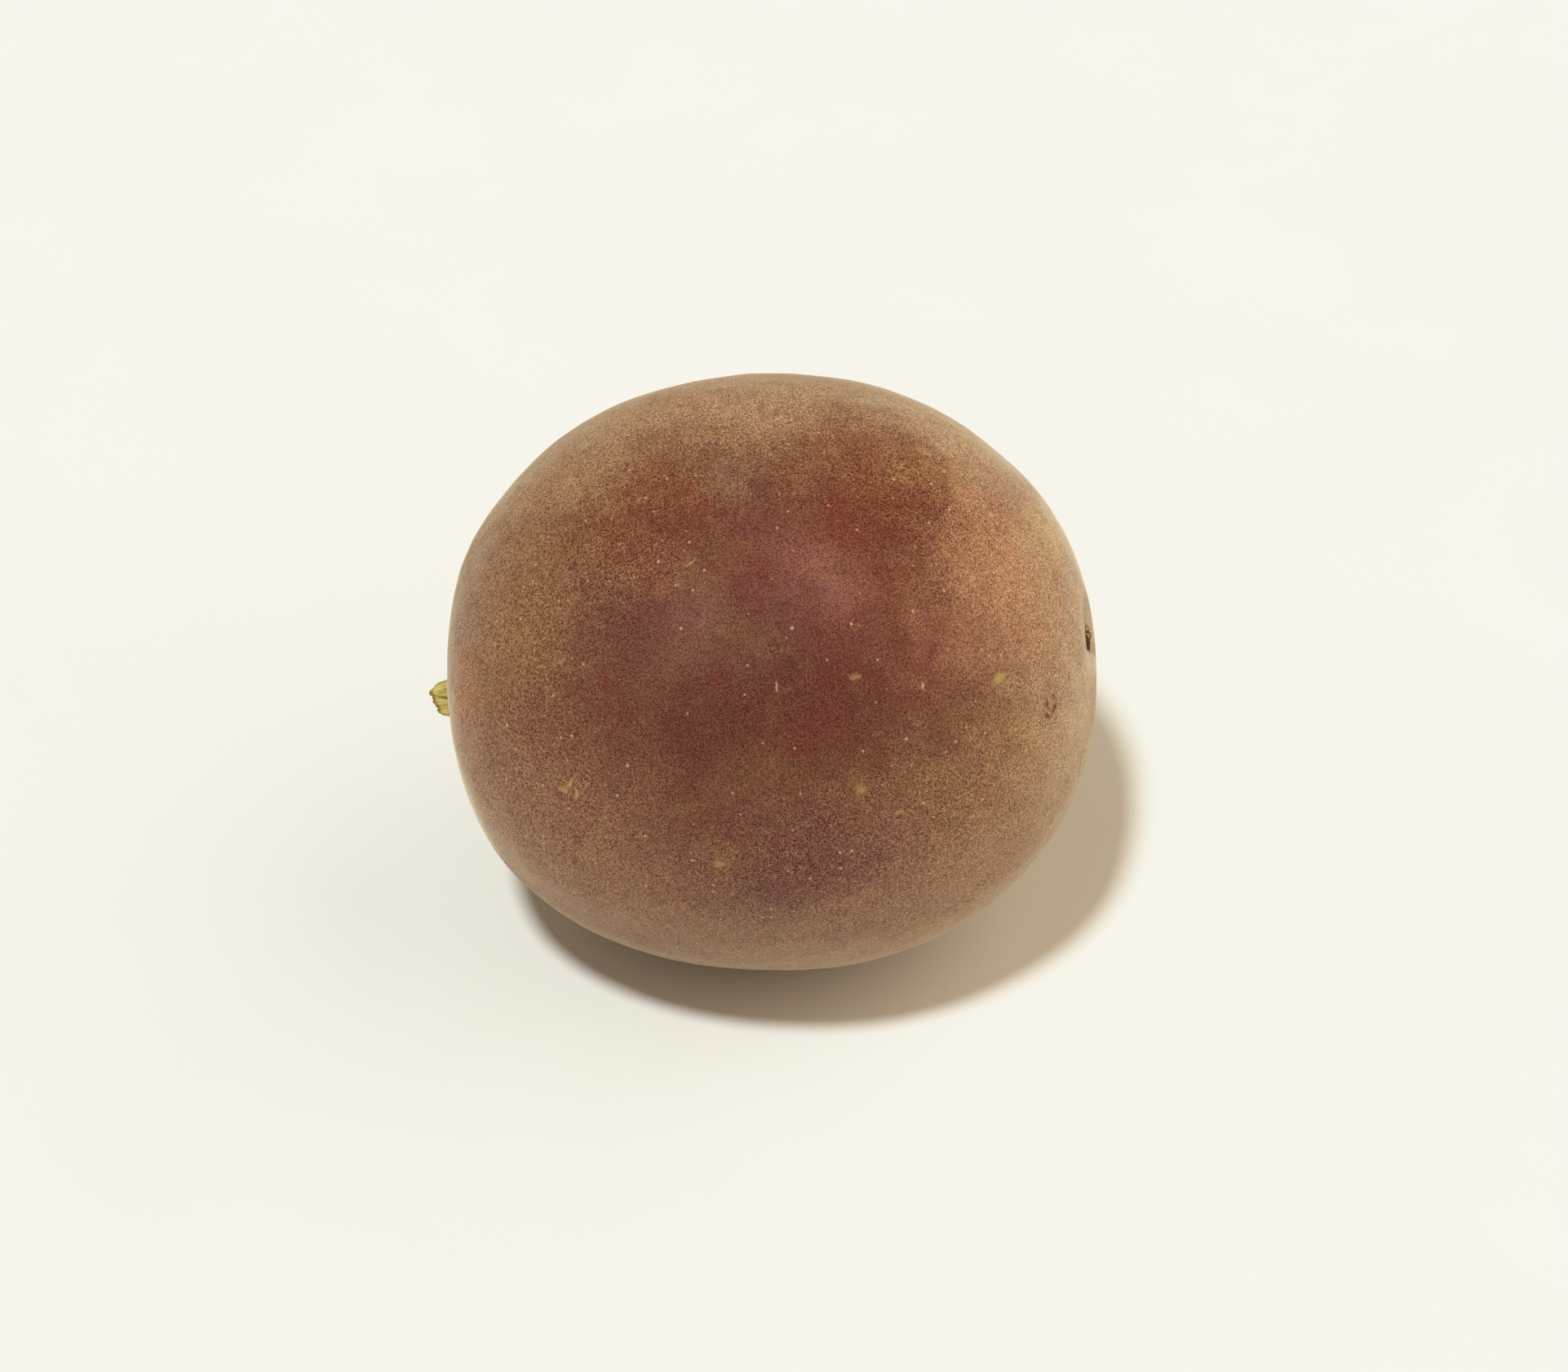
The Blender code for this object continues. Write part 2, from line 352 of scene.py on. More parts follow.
skinPatches = [             # tone, longitude, latitude, half across, half tall, turn, amount
    # the dark blush, then the patches of the back and the underside
    ("maroon", -87, 42, 53, 45, 2, 0.94),
    ("brown", 150, -10, 60, 36, 20, 0.60),
    ("maroon", 66, -2, 44, 32, -20, 0.85),
    ("plum", 100, 28, 24, 13, 30, 0.65),
    ("orange", 118, -30, 22, 9, 25, 0.50),
    ("tan", 78, -34, 16, 8, -20, 0.45),
    ("olive", 60, 12, 12, 8, 20, 0.55),
    ("deepRed", 84, -4, 7, 4, 30, 0.70),
    ("straw", 138, 22, 10, 5, 50, 0.45),
    ("mauve", 45, 30, 14, 8, -30, 0.55),
    ("rust", 125, 5, 20, 13, 60, 0.75),
    ("olive", 35, -40, 24, 16, 10, 0.55),
    ("maroon", -120, -48, 34, 22, 0, 0.55),
    ("rust", 30, -20, 16, 10, 40, 0.55),
    ("olive", 170, -45, 24, 16, 40, 0.45),
    # paler sides of the blush
    ("tan", 89, 70, 34, 13, -8, 0.45),
    ("tan", 170, 37, 15, 8, 45, 0.50),
    ("tan", 161, 50, 9, 5, 60, 0.40),
    ("tan", 28, 52, 22, 15, -20, 0.75),
    ("tan", -8, 6, 15, 20, 0, 0.95),
    ("tan", 2.6, 11, 10, 9, 0, 0.45),
    ("tan", -15, 23, 9, 8, 0, 0.55),
    ("tan", -22, 4, 9, 12, 0, 0.70),
    ("tan", -46, 2, 16, 12, -47, 0.12),
    ("tan", 14, 60, 8, 4.5, -60, 0.28),
    ("tan", -82, -24, 26, 11, -5, 0.35),
    ("orange", -12, 51, 17, 11, 6, 0.26),
    ("orange", -1, 44, 9, 7, 0, 0.25),
    ("peach", -15, 37, 13, 10, -6, 0.64),
    ("straw", 10, 35, 10, 4.5, -28, 0.45),
    ("orange", -157, 8, 9, 7.5, 88, 0.70),
    ("orange", 180, -11, 9, 9, 0, 0.25),
    ("olive", -154, 40, 10, 7, -32, 0.35),
    ("straw", 174, 53, 6, 3.4, 77, 0.30),
    # reds and browns
    ("rust", -128, 68, 34, 18, 10, 0.70),
    ("rust", -163, 55, 15, 8, 58, 0.52),
    ("rust", -137, 21, 13, 11, 52, 0.28),
    ("rust", -57, 44, 11, 9, -3, 0.70),
    ("rust", -10, 71, 15, 11, 5, 0.86),
    ("rust", -24, 62, 13, 9, -20, 1.0),
    ("brown", -103, 30, 16, 8, 14, 0.45),
    ("rust", -130, 0, 18, 11, 57, 0.20),
    ("plum", -74, 3, 21, 13, -2, 1.0),
    ("plum", -116, 83, 9, 7, -46, 0.42),
    # these three mauve patches lie where the key light's broad highlight falls: partly the rind's own mauve,
    # partly painted highlight
    ("mauve", -86, 73, 9, 7, 60, 0.12),
    ("mauve", -66, 60, 9, 6, -50, 0.75),
    ("mauve", -113, 53, 7, 5, 16, 0.50),
    ("mauve", -37, 43, 9, 6, -30, 0.62),
    ("peach", -35, 41.5, 7, 5, -30, 0.28),
    # last touches over all of them, most of them small
    ("plum", -124, 47, 9, 7, 12, 0.38),
    ("plum", -19, 58, 5, 4, -3, 0.55),
    ("plum", -74, 57, 6, 2.6, -11, 0.25),
    ("plum", -33, 46, 4.6, 2, -35, 0.45),
    ("deepRed", -53, 69, 4, 3.6, 4, 0.35),
    ("deepRed", -148, 72, 6, 4, 41, 0.35),
    ("deepRed", -96, 65, 4, 3.2, 1, 0.35),
    ("deepRed", -76, 31, 10, 3.6, -5, 0.25),
    ("deepRed", -122, 31, 4.6, 2.6, 25, 0.38),
    ("deepRed", -89, 37, 3.8, 2.4, 3, 0.36),
    ("rust", -138, 56, 7, 6, 0, 0.25),
    ("rust", 0, 65, 7.5, 5.5, 0, 1.0),
    ("rust", -20, 59.5, 5, 4.4, 0, 0.75),
    ("rust", -48, 45, 6, 5, -20, 0.20),
    ("brown", -58, 44, 7, 5, 0, 0.45),
    ("brown", -52, 10, 7, 6, 0, 0.28),
    ("maroon", -66, 24, 6, 4, 0, 0.60),
    ("maroon", -78, 79, 7, 5, 0, 0.28),
    ("peach", -116, 58.5, 6, 4, 0, 0.28),
    ("tan", -110, 43, 8, 4, 10, 0.18),
    ("tan", 173, 54, 6, 5, 0, 0.36),
    ("tan", -149, 82, 5, 4, 0, 0.26),
    ("brown", -52, 9, 8, 6, 0, 0.15),
    ("olive", -91, 52, 6, 3.4, 3, 0.35),
    ("olive", -84, 25, 8, 5, 1, 0.30),
    ("olive", -149, 30, 7, 5, -30, 0.45),
    ("brown", -88, -18, 36, 12, 0, 0.28),
    ("brown", -126, -4, 14, 9, 50, 0.34),
    ("brown", -144, 3, 9, 7, 0, 0.34),
    ("olive", -103, 15, 4, 3, 21, 0.50),
    ("olive", -94, 5, 4.6, 3.8, 26, 0.50),
    ("olive", -66, 19, 5, 4, -46, 0.50),
    ("olive", -41, 8, 7, 3.4, -36, 0.35),
    ("olive", -36, 24, 7, 3, -33, 0.30),
    ("straw", -33, 17, 8, 5, -40, 0.20),
    ("straw", 8, 60, 6, 3.4, -50, 0.18),
]

speckledPatches = [         # where the tan flecks crowd: longitude, latitude, half across, half tall, turn
    (124, 79, 11, 8, -48), (6, 62, 7, 5, -50), (-138, 56, 9, 8, 5), (-155, 37, 11, 9, -32),
    (174, 53, 9, 6, 77), (-46, 2, 20, 14, -47), (-132, 2, 20, 14, 57), (-72, 2, 24, 16, 0),
    (-12, 51, 12, 8, 6), (89, 74, 30, 14, -12), (60, 20, 24, 18, 0), (140, -20, 26, 20, 30),
    (20, -40, 24, 18, 0), (-172, 22, 26, 32, 0), (2, 14, 20, 28, 0), (170, -20, 26, 24, 0),
]


def patchAway(ways, centre, across, tall, turn):
    # (u / across)^2 + (v / tall)^2, u and v the angles from the patch's middle along its two axes
    east = np.cross([0, 0, 1], centre)
    east /= np.linalg.norm(east)
    north = np.cross(centre, east)
    lean = math.radians(turn)
    first = math.cos(lean) * east + math.sin(lean) * north
    second = math.cos(lean) * north - math.sin(lean) * east
    ahead = ways @ centre
    u = np.degrees(np.arctan2(ways @ first, ahead)) / across
    v = np.degrees(np.arctan2(ways @ second, ahead)) / tall
    return u ** 2 + v ** 2


patchEdge = {"steepness": 0.82, "power": 1.1}


def patchShare(ways, centre, across, tall, turn):
    # exp(-steepness * away^power), which is 1 in the middle and 0.44 on the patch's own edge
    away = patchAway(ways, centre, across, tall, turn)
    return np.exp(-patchEdge["steepness"] * away ** patchEdge["power"])


def wobble(ways, points, wavelength, amount, seed):
    # every way is pushed along X, Y and Z, by one ripple each, so patch edges run ragged
    shift = np.column_stack([ripples(points, wavelength, seed + i) for i in range(3)])
    moved = ways + amount * shift
    return moved / np.linalg.norm(moved, axis=1)[:, None]


blossomPocket = {           # a shallow pocket in the rind below the dry remnant, painted dark as painted shade, sizes in degrees
    "place": (1.3, 9.7),
    "across": 2.6,
    "tall": 1.15,
    "turn": -45,
    "edge": (0.70, 1.15),               # where it is full and where it ends, as shares of its size
    "depth": 0.20 * mm,
    "shade": 0.5,
}


def pocketShare(ways):
    spread = blossomPocket["across"], blossomPocket["tall"], blossomPocket["turn"]
    away = patchAway(ways, wayTo(*blossomPocket["place"]), *spread)
    return 1 - easeStep(np.sqrt(away), *blossomPocket["edge"])


skinDepth = (0.955, 0.985, 0.99)        # deepens all painted tones a little, red the most

patchRipples = [            # what bends the patch edges: wavelength, reach as a share of the radius, seed
    (11 * mm, 0.018, 11), (4.5 * mm, 0.022, 21), (1.9 * mm, 0.018, 31),
]

tanFlecks = {               # how thick the tan flecks stand
    "plain": 0.70,
    "blush": (-87, 42),                 # they thin out over the darkest blush
    "blushSize": (42, 38, 0),
    "blushFullness": 1.15,
    "thinning": 0.50,
    "crowding": 0.40,                   # what each speckled patch adds
    "most": 1.4,
}


def paintSkin(ways, points):
    bent = ways
    for wavelength, reach, seed in patchRipples:
        bent = wobble(bent, points, wavelength, reach, seed)
    colour = np.tile(paint(*skinTones["ground"]), (len(ways), 1))
    for name, longitude, latitude, across, tall, turn, amount in skinPatches:
        centre = bent[np.argmax(ways @ wayTo(longitude, latitude))]         # so it stays where it is put
        share = amount * patchShare(bent, centre, across, tall, turn)[:, None]
        colour = colour * (1 - share) + paint(*skinTones[name]) * share
    onBlush = patchShare(bent, wayTo(*tanFlecks["blush"]), *tanFlecks["blushSize"])
    thinned = np.clip(tanFlecks["blushFullness"] * onBlush, 0, 1)
    speckle = tanFlecks["plain"] - tanFlecks["thinning"] * thinned
    for longitude, latitude, across, tall, turn in speckledPatches:
        centre = bent[np.argmax(ways @ wayTo(longitude, latitude))]
        speckle += tanFlecks["crowding"] * patchShare(bent, centre, across, tall, turn)
    # painted shade: the pocket is painted dark for the shadowed crevice below the remnant
    pocketShade = pocketShare(ways)[:, None]
    colour = colour * (1 - pocketShade) + paint(*skinTones["tornDarkAndShade"]) * blossomPocket["shade"] * pocketShade
    colour = colour * skinDepth
    return colour, np.clip(speckle, 0, tanFlecks["most"]) * (1 - pocketShade[:, 0])


# marks on the skin: kind, longitude, latitude, half long, half wide in mm, turn, tone, amount

skinMarks = [
    ("spot", -63.6, 40.8, 0.50, 0.40, 0, "straw", 0.50),
    ("spot", -31.9, 28.5, 0.95, 0.70, 10, "lime", 0.45),
    ("spot", -116.4, 62.0, 0.75, 0.14, 60, "straw", 0.80),
    ("spot", -116.6, 57.0, 0.32, 0.26, 0, "straw", 0.80),
    ("spot", -124.6, 13.6, 1.10, 0.17, 72, "straw", 0.90),
    ("spot", -123.2, 12.1, 0.85, 0.17, 105, "straw", 0.85),
    ("spot", -125.6, 11.6, 0.45, 0.20, 30, "straw", 0.80),
    ("spot", -121.4, 14.8, 0.40, 0.11, 80, "straw", 0.60),
    ("spot", -23.6, 17.8, 0.80, 0.46, 60, "rust", 1.0),
    ("spot", -22.0, 15.4, 1.00, 0.40, 30, "rust", 1.0),
    ("spot", -24.4, 15.6, 0.70, 0.32, 120, "rust", 1.0),
    ("spot", -21.2, 17.6, 0.55, 0.30, 75, "rust", 0.9),
    ("spot", -22.4, 13.6, 0.26, 0.20, 0, "rust", 0.80),
    ("spot", -66.4, 19.9, 0.85, 0.70, 0, "straw", 0.45),
    ("spot", -93.7, 4.2, 0.95, 0.45, 20, "straw", 0.45),
    ("spot", -59.5, 13.3, 0.55, 0.40, 0, "straw", 0.40),
    ("spot", 23.8, 57.7, 0.40, 0.16, 40, "dark", 0.80),
    ("spot", 36.3, 57.7, 0.32, 0.12, 20, "dark", 0.70),
    ("spot", -14.9, 16.2, 0.26, 0.16, 30, "dark", 0.60),
    ("spot", -82.7, 41.2, 0.62, 0.13, 80, "fleck", 0.70),
    ("spot", -49.0, 35.0, 0.55, 0.13, 70, "fleck", 0.70),
    ("spot", -151.5, 21.0, 0.70, 0.10, 60, "dark", 0.50),
    ("spot", -15.6, -5.1, 2.00, 0.80, 75, "straw", 0.85),
    ("spot", -15.2, -4.6, 1.45, 0.34, 75, "brown", 0.90),
    ("spot", -0.7, 17.5, 0.50, 0.30, 45, "scarBrown", 0.80),
    ("spot", -9.0, 14.5, 0.30, 0.14, 80, "deepRed", 0.80),
    ("spot", 80, 20, 0.80, 0.50, 30, "straw", 0.70),
    ("loop", 110, -8, 1.40, 0.60, 20, "straw", 0.60),
    ("spot", 130, 30, 0.60, 0.16, 70, "dark", 0.60),
    ("spot", 50, -20, 0.60, 0.45, 0, "straw", 0.60),
    ("loop", 155, 0, 1.00, 0.55, 60, "deepRed", 0.60),
]


def markPlace(longitude, latitude, turn):
    # a point of the skin and the turn whose Z points outwards there, X along the mark
    way = wayTo(longitude, latitude)
    point = way * skinRadius(way[None])[0] + fruitCentre
    east = np.cross([0, 0, 1], way)
    east /= np.linalg.norm(east)
    north = np.cross(way, east)
    lean = math.radians(turn)
    along = math.cos(lean) * east + math.sin(lean) * north
    return point, Matrix(np.column_stack((along, np.cross(way, along), way)).tolist()).to_euler()


markEdge = {                # in half widths: where a mark is full, and where it has faded out
    "spot": (0.15, 1.15),
    "loop": (0.12, 0.36),               # counted from a ring of loopRadius
    "loopRadius": 0.72,
}


def addMark(tree, colour, place, mark):
    kind, longitude, latitude, halfLong, halfWide, turn, name, amount = mark
    point, lean = markPlace(longitude, latitude, turn)
    sockets = {"Vector": place, "Location": point, "Rotation": lean,
               "Scale": (halfLong * mm, halfWide * mm, halfLong * mm)}
    local = addNode(tree, "ShaderNodeMapping", sockets, vector_type="TEXTURE").outputs[0]
    away = addNode(tree, "ShaderNodeVectorMath", {0: local}, operation="LENGTH").outputs["Value"]
    if kind == "loop":
        away = doMath(tree, "ABSOLUTE", doMath(tree, "SUBTRACT", away, markEdge["loopRadius"]))
    full, gone = markEdge[kind]
    return mixTone(tree, fade(tree, away, full, gone, amount, 0.0), colour, tone(name))


def lift(tree, colour, gains):
    return addNode(tree, "ShaderNodeVectorMath", {0: colour, 1: gains}, operation="MULTIPLY").outputs[0]


rind = {
    "sheen": 0.64,                      # the dusty bloom
    "sheenRoughness": 0.32,
    "sheenTint": (0.95, 0.88, 0.69, 1),
    "mottling": (5 * mm, 1.6 * mm),     # size of the wide and of the middle clouds
    "ridges": 0.145 * mm,               # about how far apart the pale ridges of the grain stand
    "ridgeLift": (2.5, 2.6, 2.6),       # how much brighter than the rind they are
    "ridgeTan": 0.16,                   # share of the fleck tone in them
    "flecks": 0.30 * mm,
    "fleckLift": (1.7, 2.1, 1.8),
    "fleckTan": 0.45,
    "poreLift": (0.40, 0.38, 0.42),     # below 1, so pores are darker than the rind
    "dotNet": 0.85 * mm,                # cells of the net that the pale dots sit in
    "markBend": (0.9 * mm, 1.1 * mm),   # size and reach of the ripples that bend the marks
    "roughness": (0.50, 0.70),
    "bump": (0.05 * mm, 0.6),           # depth and strength
}


def mottle(tree, colour, wide, middle):
    # the wide clouds warm the tone or turn it olive, the middle ones darken it
    colour = mixTone(tree, fade(tree, wide, 0.44, 0.70, 0, 0.28), colour, tone("rust"))
    colour = mixTone(tree, fade(tree, wide, 0.30, 0.52, 0.22, 0), colour, tone("olive"))
    return mixTone(tree, fade(tree, middle, 0.48, 0.72, 0, 0.22), colour, tone("dark"))


def addGrain(tree, colour, here, worm, speckle, middle):
    # a maze of pale ridges and dark pores, with coarser flecks where they crowd
    fine = cloud(tree, here, rind["ridges"], 1.0, 0.5, 0.5)
    onPatch = doMath(tree, "MULTIPLY", speckle, 0.75)
    crowd = doMath(tree, "ADD", onPatch, doMath(tree, "MULTIPLY", middle, 0.7))
    ridge = doMath(tree, "MULTIPLY", fade(tree, fine, 0.47, 0.62), fade(tree, crowd, 0.3, 1.4, 0.26, 0.74))
    ridgeTone = mixTone(tree, rind["ridgeTan"], lift(tree, colour, rind["ridgeLift"]), tone("fleck"))
    colour = mixTone(tree, ridge, colour, ridgeTone)
    fleck = doMath(tree, "MULTIPLY", worm, fade(tree, crowd, 0.45, 1.05, 0.03, 0.62))
    fleckTone = mixTone(tree, rind["fleckTan"], lift(tree, colour, rind["fleckLift"]), tone("fleck"))
    colour = mixTone(tree, fleck, colour, fleckTone)
    pore = doMath(tree, "MULTIPLY", fade(tree, fine, 0.48, 0.32), fade(tree, crowd, 0.35, 0.9, 0.75, 1.0))
    return mixTone(tree, pore, colour, lift(tree, colour, rind["poreLift"]))


def paleDots(tree, here, speckle):
    # lenticels: a pale dot in some of the net's cells, more of them where the flecks crowd
    cells = addNode(tree, "ShaderNodeTexVoronoi", {"Vector": here, "Scale": 1 / rind["dotNet"]})
    luck = addNode(tree, "ShaderNodeSeparateColor", {"Color": cells.outputs["Color"]})
    size = fade(tree, luck.outputs["Red"], 0.3, 1, 0.07, 0.23)
    away = doMath(tree, "DIVIDE", cells.outputs["Distance"], size)
    share = addNode(tree, "ShaderNodeMath", {0: speckle, 1: 0.5, 2: 0.22}, operation="MULTIPLY_ADD")
    chosen = doMath(tree, "LESS_THAN", luck.outputs["Green"], share.outputs[0])
    return doMath(tree, "MULTIPLY", fade(tree, away, 0.35, 1.1, 0.62, 0), chosen)


def bendPlace(tree, here):
    # small ripples shift the place, so that no mark is a clean ellipse
    size, reach = rind["markBend"]
    bend = addNode(tree, "ShaderNodeTexNoise", {"Vector": here, "Scale": 1 / size, "Detail": 3.0})
    push = addNode(tree, "ShaderNodeVectorMath", {0: bend.outputs["Color"], 1: (0.5, 0.5, 0.5)},
                   operation="SUBTRACT").outputs[0]
    push = addNode(tree, "ShaderNodeVectorMath", {0: push, "Scale": reach}, operation="SCALE").outputs[0]
    return addNode(tree, "ShaderNodeVectorMath", {0: here, 1: push}, operation="ADD").outputs[0]


def makeRind():
    material, tree, shader = newMaterial("rind", 0.6, 0.2)
    shader.inputs["Sheen Weight"].default_value = rind["sheen"]
    shader.inputs["Sheen Roughness"].default_value = rind["sheenRoughness"]
    shader.inputs["Sheen Tint"].default_value = rind["sheenTint"]
    here = addNode(tree, "ShaderNodeTexCoord").outputs["Object"]
    colour = addNode(tree, "ShaderNodeAttribute", attribute_name="rindTone").outputs["Color"]
    speckle = addNode(tree, "ShaderNodeAttribute", attribute_name="speckle").outputs["Fac"]
    wideSize, middleSize = rind["mottling"]
    wide = cloud(tree, here, wideSize, 4, 0.6, 0.8)
    middle = cloud(tree, here, middleSize, 3, 0.6, 0.6)
    coarse = cloud(tree, here, rind["flecks"], 2.0, 0.5, 0.9)
    worm = fade(tree, doMath(tree, "ABSOLUTE", doMath(tree, "SUBTRACT", coarse, 0.5)), 0.008, 0.05, 1, 0)
    colour = mottle(tree, colour, wide, middle)
    colour = addGrain(tree, colour, here, worm, speckle, middle)
    dots = paleDots(tree, here, speckle)
    colour = mixTone(tree, dots, colour, tone("fleck"))
    bentPlace = bendPlace(tree, here)
    for mark in skinMarks:
        colour = addMark(tree, colour, bentPlace, mark)
    tree.links.new(colour, shader.inputs["Base Color"])
    tree.links.new(fade(tree, middle, 0.3, 0.7, *rind["roughness"]), shader.inputs["Roughness"])
    height = doMath(tree, "ADD", doMath(tree, "MULTIPLY", worm, 0.35), doMath(tree, "MULTIPLY", middle, 0.8))
    height = doMath(tree, "ADD", height, doMath(tree, "MULTIPLY", dots, 0.6))
    addBump(tree, shader, height, *rind["bump"])
    return material


# low relief: dents first, then soft waves of the rind and a lip round the blossom end

skinRelief = {
    "dents": [                          # place, spread in degrees, depth in mm; below 0 stands proud
        (-172, 46, 6, 0.22), (173, 20, 10, -0.28), (33, 34, 6, 0.25), (20, 16, 13, -0.22),
        (-40, -10, 12, 0.25), (60, 10, 12, 0.3), (110, 35, 9, 0.25), (40, -35, 10, 0.3),
        (-20, 60, 8, 0.12),
    ],
    "waves": [(18 * mm, 0.05), (7 * mm, 0.022), (3 * mm, 0.010)],            # wavelength, height in mm
    "waveSeed": 70,
    "lip": (8.0, 2.2, 0.08),            # radius and width in degrees, height in mm
    "floorGap": 0.02 * mm,              # how far the underside stays above the floor
}


def reliefOf(ways, points):
    # bells at the dents, ripples, and a ring round the scar of exp(-((away - ring) / width) squared)
    low = np.zeros(len(ways))
    for longitude, latitude, spread, depth in skinRelief["dents"]:
        low -= depth * mm * bell(ways, wayTo(longitude, latitude), math.radians(spread))
    for seed, (wavelength, height) in enumerate(skinRelief["waves"]):
        low += height * mm * ripples(points, wavelength, skinRelief["waveSeed"] + seed)
    ring, width, height = skinRelief["lip"]
    away = np.degrees(np.arccos(np.clip(ways @ scarWay, -1, 1)))
    low += height * mm * np.exp(-((away - ring) / width) ** 2)
    return low - blossomPocket["depth"] * pocketShare(ways)


def makeFruit():
    flatWays = ways.reshape(-1, 3)
    smooth = plainSkin.reshape(-1, 3)
    low = reliefOf(flatWays, smooth)
    skin = smooth + flatWays * low[:, None] + fruitCentre
    skin[:, 2] = np.maximum(skin[:, 2], skinRelief["floorGap"])
    colour, speckle = paintSkin(flatWays, smooth)
    grid = skin.reshape(ways.shape)
    mesh = closedGrid("fruitSkin", grid[1:-1], grid[0, 0], grid[-1, 0])
    turns = ways.shape[1]
    # the mesh holds the rings between the poles first and the two poles last
    order = np.concatenate((np.arange(turns, len(skin) - turns), [0, len(skin) - 1]))
    giveColour(mesh, "rindTone", colour[order])
    giveValue(mesh, "speckle", speckle[order])
    settle("fruitSkin", mesh, makeRind(), "fruit")


makeFruit()
print("skin painted, patches:", len(skinPatches))


# the two dry ends, each worked out standing on local Z and then set on the skin

def standOn(way, rows, turn=0):
    # local Z goes out of the skin along way, local X upwards, then turned about Z by turn degrees
    upwards = np.array([0, 0, 1]) - way * way[2]
    upwards /= np.linalg.norm(upwards)
    sideways = np.cross(way, upwards)
    lean = math.radians(turn)
    first = math.cos(lean) * upwards + math.sin(lean) * sideways
    second = math.cos(lean) * sideways - math.sin(lean) * upwards
    seat = way * skinRadius(way[None])[0] + fruitCentre
    return seat + rows[..., :1] * first + rows[..., 1:2] * second + rows[..., 2:] * way


stub = {
    "rootDepth": 1.5 * mm,
    "length": 2.9 * mm,
    "skinRadius": 1.84 * mm,
    "roundTo": 4.1 * mm,                # height at which the rounded side would close
    "slant": (0.3 * mm, -9),            # how far the cut rises and falls, turn of its highest point
    "beak": (0.42 * mm, 26),            # height and spread in degrees of the torn point there
    "teeth": [(5, 0.05), (8, 0.05), (19, 0.05), (31, 0.04)],                 # waves round the end, height
    "ribs": (7, 0.05),                  # how many, and their height as a share of the radius
    "fibres": (0.55, 0.022),            # wavelength and height in mm, drawn out along the stalk
    "wrinkles": (0.55, 0.018),          # the same, drawn out round it
    "lumps": (1.5, 0.03),
    "rippleRadius": 2.2,                # mm, of the round surface that these three are worked out on
    "crack": (0.34 * mm, 0.16 * mm),    # depth and width of the split down the near side
    "crackTurn": (-64, 28),             # its turn at the skin, and how far it wanders by the tip
    "sunken": 0.55 * mm,                # how far the torn pith lies below the rim
    "pith": (0.42, 0.2, 0.07 * mm),     # wavelengths of its two ripples in mm, and their height
    "turns": 168,
    "sideRings": 96,
    "endRings": 40,
}


def aroundZero(angle):
    # the same angle, between -pi and pi
    return np.mod(angle + math.pi, 2 * math.pi) - math.pi


def tornEdge(turn):
    # length + slant * cos(off) + beak * exp(-(off / spread)^2), off the turn from the highest point
    slant, slantTurn = stub["slant"]
    beak, beakSpread = stub["beak"]
    off = aroundZero(turn - math.radians(slantTurn))
    top = stub["length"] + slant * np.cos(off) + beak * np.exp(-(off / math.radians(beakSpread)) ** 2)
    for waves, height in stub["teeth"]:
        top = top + height * mm * np.cos(waves * turn + waves)
    return top


def stubSide(turn, top):
    # height runs evenly from the root to the torn edge, and radius is
    # skinRadius * sqrt(1 - (height / roundTo)^2.5), with ribs, fibres, wrinkles, lumps and the split
    up = np.linspace(0, 1, stub["sideRings"])[:, None]
    height = -stub["rootDepth"] + (top + stub["rootDepth"]) * up
    taper = np.clip(height / stub["length"], 0, 1)
    ribs, ribHeight = stub["ribs"]
    radius = stub["skinRadius"] * np.sqrt(1 - np.clip(height / stub["roundTo"], 0, 0.95) ** 2.5)
    radius *= 1 + ribHeight * np.cos(ribs * turn) * (0.4 + 0.6 * taper)
    wide = stub["rippleRadius"]
    spots = np.broadcast_arrays(wide * np.cos(turn), wide * np.sin(turn), height / mm)
    spots = np.stack(spots, axis=-1).reshape(-1, 3)
    fibreSize, fibreHeight = stub["fibres"]
    wrinkleSize, wrinkleHeight = stub["wrinkles"]
    lumpSize, lumpHeight = stub["lumps"]
    fibres = ripples(spots * [1, 1, 0.12], fibreSize, 90).reshape(height.shape)
    wrinkles = ripples(spots * [0.35, 0.35, 1], wrinkleSize, 91).reshape(height.shape)
    lumps = ripples(spots, lumpSize, 92).reshape(height.shape)
    radius += (fibreHeight * fibres + wrinkleHeight * wrinkles * (1 - taper) + lumpHeight * lumps) * mm
    crackTurn, wander = stub["crackTurn"]
    away = aroundZero(turn - np.radians(crackTurn + wander * taper)) * radius
    depth, width = stub["crack"]
    split = np.exp(-(away / width) ** 2) * easeStep(height, 0.1 * mm, 0.9 * mm)
    split *= 1 - 0.75 * easeStep(height - top, -0.8 * mm, 0)
    radius -= depth * split
    radius *= easeStep(up, 0, 0.06) ** 0.5
    return height, radius, fibres, split


def stubEnd(turn, top, rim):
    # from the rim inwards, sinking into ragged pith
    inwards = np.linspace(0, 1, stub["endRings"] + 2)[1:-1][:, None]
    face = rim * (1 - inwards)
    spots = np.stack((face * np.cos(turn), face * np.sin(turn), 0 * face), axis=-1).reshape(-1, 3) / mm
    coarse, fine, tall = stub["pith"]
    ragged = ripples(spots, coarse, 95).reshape(face.shape)
    ragged = ragged + 0.6 * ripples(spots, fine, 96).reshape(face.shape)
    level = top * (1 - easeStep(inwards, 0, 0.8)) + stub["length"] * easeStep(inwards, 0, 0.8)
    level = level - stub["sunken"] * easeStep(inwards, 0.02, 0.45)
    level = level + tall * ragged * easeStep(inwards, 0.05, 0.4)
    return face, level, ragged


